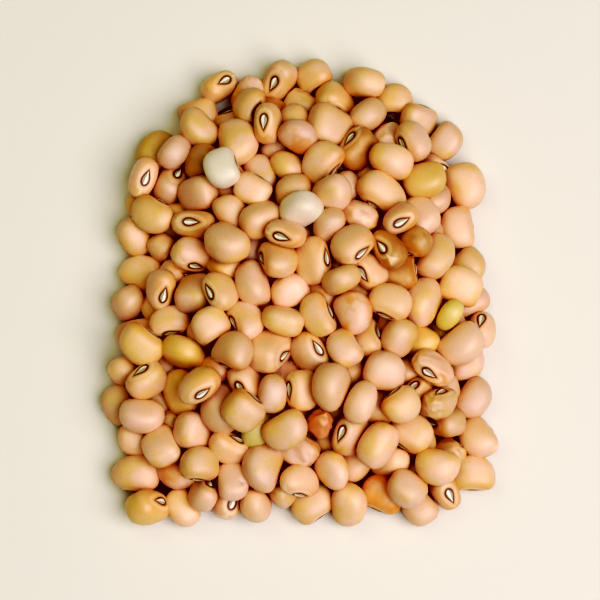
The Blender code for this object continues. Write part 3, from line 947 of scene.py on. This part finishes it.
def plain_material(name, colour, roughness, scale, depth):
    """A plain colour with a soft mottle, as far above it as below."""
    coat = Coat(name)
    mottle = coat.ranged(coat.noise(scale, MOTTLE_DETAIL), (1.0 - depth / 2, 1.0 + depth / 2))
    return coat.finish(coat.blend(1.0, rgba(colour), mottle, "MULTIPLY"), roughness)


def add_piece(mesh, material):
    """Shows a mesh as a piece of the heap that stands for its solid."""
    piece = bpy.data.objects.new(mesh.name, mesh)
    bpy.context.scene.collection.objects.link(piece)
    mesh.materials.append(material)
    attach(piece, "root")
    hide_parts(NODE)


def add_beans(kind, coat, wrinkle=0.0, dents=(), **form):
    """Adds all beans of one kind as one piece, with finer rings where they are wrinkled or dented."""
    numbers = np.array(sorted(sorted_beans()[kind]))
    fine = bool(wrinkle or dents)
    radii = ring_radii(FINE_RINGS if fine else BEAN_RINGS)
    sides = FINE_SIDES if fine else bean_settings().sides
    points = bean_points(numbers, sides, radii, wrinkle, **form)
    dent = np.zeros(points.shape[:3])
    for way, width, depth in dents:
        ways = spread_ways(way, numbers) if len(numbers) > 1 else np.array([way])
        points, press = pressed(points, ways, width, depth)
        dent = np.maximum(dent, press)
    mesh = grid_mesh(kind, points, radii)
    add_tones(mesh, numbers)
    if dents:
        shown = np.concatenate([dent[:, 1:-1].reshape(len(dent), -1), dent[:, [0, -1], 0]], axis=1)
        mesh.attributes.new("dent", "FLOAT", "POINT").data.foreach_set("value", shown.ravel())
    add_piece(mesh, seed_coat(kind.replace("beans", "coat"), *coat))


def core_points():
    """Rings of the core: out along the underside to the outline less an inset, and back below the crest.

    How far it reaches in each direction is found by halving, until the depth inside the outline is the inset.
    """
    turn = np.arange(CORE_SIDES) * 2 * math.pi / CORE_SIDES
    low, high = np.zeros(CORE_SIDES), np.full(CORE_SIDES, heap_settings().length)
    for _ in range(REACH_HALVINGS):
        middle = (low + high) / 2
        inside = depth_inside(middle * np.cos(turn), middle * np.sin(turn)) > CORE_INSET
        low, high = np.where(inside, middle, low), np.where(inside, high, middle)
    share = np.array(CORE_RINGS)[:, None]
    x, y = share * low * np.cos(turn), share * low * np.sin(turn)
    top = np.maximum(crest(depth_inside(x, y)) - CORE_COVER, LEAST_TOP)
    underside = np.arange(len(share))[:, None] < UNDERSIDE_RINGS
    return np.stack([x, y, np.where(underside, UNDERSIDE_HEIGHT, top)], axis=-1)[None]


class DRIED_OT_inner_core(bpy.types.Operator):
    """Add the core, whose dark colour is painted shade that shows only as depth between the beans"""

    bl_idname = "dried.inner_core"
    bl_label = "Inner core"

    def execute(self, context):
        radii = np.linspace(0.0, RING_REACH, len(CORE_RINGS))[1:-1]
        mesh = grid_mesh("inner_core", core_points(), radii)
        # The core's dark colour is painted shade for the gaps between the beans
        material = plain_material("inner_core", colours().core, roughness=0.8, scale=600.0, depth=0.4)
        add_piece(mesh, material)
        return {"FINISHED"}


class DRIED_OT_common_beans(bpy.types.Operator):
    """Add the tan, peach, olive, brown and russet beans, one piece for each"""

    bl_idname = "dried.common_beans"
    bl_label = "Common beans"

    def execute(self, context):
        for kind, coat in COMMON_COATS.items():
            add_beans(kind, coat)
        return {"FINISHED"}


class DRIED_OT_odd_beans(bpy.types.Operator):
    """Add the ivory, green, wrinkled, shrivelled and dented beans, one piece for each"""

    bl_idname = "dried.odd_beans"
    bl_label = "Odd beans"

    def execute(self, context):
        for kind, coat in ODD_COATS.items():
            add_beans(kind, coat, **ODD_FORMS[kind])
        return {"FINISHED"}


def stage_point(azimuth, elevation, distance):
    """A point seen from the heap in a direction: azimuth from the camera's side towards +X."""
    level = distance * math.cos(elevation)
    x, y = level * math.sin(azimuth), -level * math.cos(azimuth)
    return Vector((x, y, distance * math.sin(elevation)))


def aimed(obj, place, target):
    """Puts an object at a place seen from the target, and turns it to look there."""
    bpy.context.scene.collection.objects.link(obj)
    obj.location = target + place
    obj.rotation_euler = (-place).to_track_quat("-Z", "Y").to_euler()
    return obj


def add_light(name, power, azimuth, elevation, colour):
    """A square soft light, aimed at the heap."""
    light = bpy.data.lights.new(name, "AREA")
    light.energy = power
    light.size = LIGHT_SIZE
    light.color = colour
    place = stage_point(math.radians(azimuth), math.radians(elevation), LIGHT_DISTANCE)
    aimed(bpy.data.objects.new(name, light), place, Vector(LIGHT_TARGET))


def add_floor(colour):
    """A plain square floor, which isn't part of the heap."""
    corners = [(x * FLOOR_REACH, y * FLOOR_REACH, 0.0) for x, y in ((-1, -1), (1, -1), (1, 1), (-1, 1))]
    mesh = bpy.data.meshes.new("floor")
    mesh.from_pydata(corners, [], [(0, 1, 2, 3)])
    mesh.materials.append(plain_material("floor", colour, roughness=0.9, scale=8.0, depth=0.02))
    floor = bpy.data.objects.new("floor", mesh)
    bpy.context.scene.collection.objects.link(floor)


def set_tones(view):
    """Shows the picture through the tone curves."""
    view.view_transform = "Standard"
    view.use_curve_mapping = True
    red, green, blue, _ = view.curve_mapping.curves
    for curve, points in ((red, RED_CURVE), (green, DARK_CURVE), (blue, DARK_CURVE)):
        for level, shown in points:
            curve.points.new(level, shown)
    red.points[0].location = (0.0, RED_START)
    view.curve_mapping.update()


class DRIED_OT_stage(bpy.types.Operator):
    """Add the pale floor, the soft studio lights and the camera"""

    bl_idname = "dried.stage"
    bl_label = "Stage"

    def execute(self, context):
        scene, stage = context.scene, context.scene.dried_stage
        add_floor(stage.floor)
        add_light("key", stage.key_power, *KEY_LIGHT)
        add_light("fill", stage.fill_power, *FILL_LIGHT)
        world = bpy.data.worlds.new("studio")
        world.use_nodes = True
        background = world.node_tree.nodes["Background"]
        background.inputs["Color"].default_value = SKY_COLOUR
        background.inputs["Strength"].default_value = stage.sky
        scene.world = world
        set_tones(scene.view_settings)

        camera = bpy.data.cameras.new("camera")
        width = FRAME_PIXELS * PIXEL
        camera.lens = camera.sensor_width * stage.distance / width
        camera.clip_start = NEAREST_SEEN
        lowered = PIXEL * (FRAME_PIXELS / 2 - HEAP_PIXEL[1]) / math.sin(stage.elevation)
        target = Vector((0.0, -lowered, 0.5 * heap_settings().foot_height))
        obj = bpy.data.objects.new("camera", camera)
        scene.camera = aimed(obj, stage_point(0.0, stage.elevation, stage.distance), target)
        return {"FINISHED"}


STEPS = (DRIED_OT_inner_core, DRIED_OT_common_beans, DRIED_OT_odd_beans, DRIED_OT_stage)
GROUPS = {
    "dried_heap": HeapSettings,
    "dried_bean": BeanSettings,
    "dried_colours": ColourSettings,
    "dried_stage": StageSettings,
}


class DRIED_PT_panel(bpy.types.Panel):
    """Settings of the heap and the buttons that build it"""

    bl_idname = "DRIED_PT_panel"
    bl_label = "Dried beans"
    bl_space_type = "VIEW_3D"
    bl_region_type = "UI"
    bl_category = "Beans"

    def draw(self, context):
        for step in STEPS:
            self.layout.operator(step.bl_idname)
        for name in GROUPS:
            settings = getattr(context.scene, name)
            box = self.layout.box()
            for key in settings.bl_rna.properties.keys():
                if key not in ("rna_type", "name"):
                    box.prop(settings, key)


def register():
    for cls in (*GROUPS.values(), *STEPS, DRIED_PT_panel):
        bpy.utils.register_class(cls)
    for name, group in GROUPS.items():
        setattr(bpy.types.Scene, name, bpy.props.PointerProperty(type=group))


def unregister():
    for name in GROUPS:
        delattr(bpy.types.Scene, name)
    for cls in (DRIED_PT_panel, *reversed(STEPS), *reversed(GROUPS.values())):
        bpy.utils.unregister_class(cls)


def main():
    """Builds the heap and its stage."""
    register()
    bpy.ops.dried.inner_core()
    bpy.ops.dried.common_beans()
    bpy.ops.dried.odd_beans()
    bpy.ops.dried.stage()


if __name__ == "__main__":
    main()
